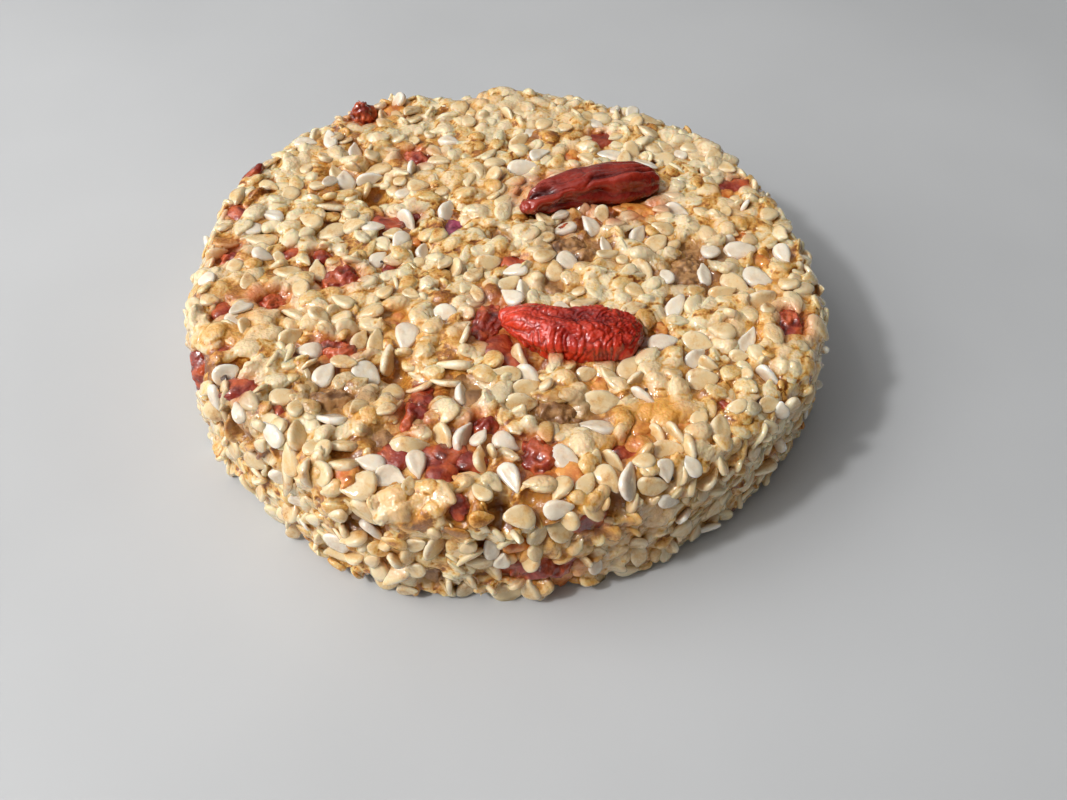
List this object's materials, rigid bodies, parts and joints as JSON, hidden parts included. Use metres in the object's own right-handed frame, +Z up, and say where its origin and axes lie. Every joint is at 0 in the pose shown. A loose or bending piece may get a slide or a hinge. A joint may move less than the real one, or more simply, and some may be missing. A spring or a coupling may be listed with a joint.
{
  "type": "sesame cookie",
  "caption": "Round pressed cookie of sesame seeds bound in honey, flat underneath, with dried goji berries and torn fruit pieces on its top and side.",
  "frame": {"origin": "middle of the bounding box in plan, on the flat underside that the cookie rests on", "axes": "+Z up through the thickness; -Y is the front of the cookie and +X its right as seen from the front"},
  "size_m": [0.0602, 0.06, 0.0156],
  "materials": {
    "honeyed_seeds": "cream to golden hulled sesame seeds in a thin clear honey binder, satin with small glints",
    "red_berry_skin": "bright red dried berry skin, finely wrinkled and glossy on the ridges",
    "dark_berry_skin": "dark red dried berry skin in long folds, sticky and glossy",
    "brown_fruit": "brown granular dried fruit flesh, dull with a few glints"
  },
  "bodies": {
    "root": {"seed_mass": "honeyed_seeds", "goji_front": "red_berry_skin", "goji_back": "dark_berry_skin", "goji_skin_centre": "dark_berry_skin", "goji_piece_left": "dark_berry_skin", "goji_piece_near_left": "dark_berry_skin", "goji_piece_front": "dark_berry_skin", "goji_piece_back": "dark_berry_skin", "goji_piece_back_rim": "dark_berry_skin", "goji_piece_far_left": "dark_berry_skin", "honeyed_piece_left": "dark_berry_skin", "goji_piece_near_rim": "dark_berry_skin", "goji_skin_front": "dark_berry_skin", "goji_end_left": "dark_berry_skin", "goji_piece_right_rim": "dark_berry_skin", "goji_piece_low": "dark_berry_skin", "raisin_front": "brown_fruit", "mulberry_piece_left": "brown_fruit", "mulberry_piece_middle": "brown_fruit", "mulberry_piece_right": "brown_fruit", "mulberry_piece_rim": "brown_fruit"}
  },
  "joints": []
}
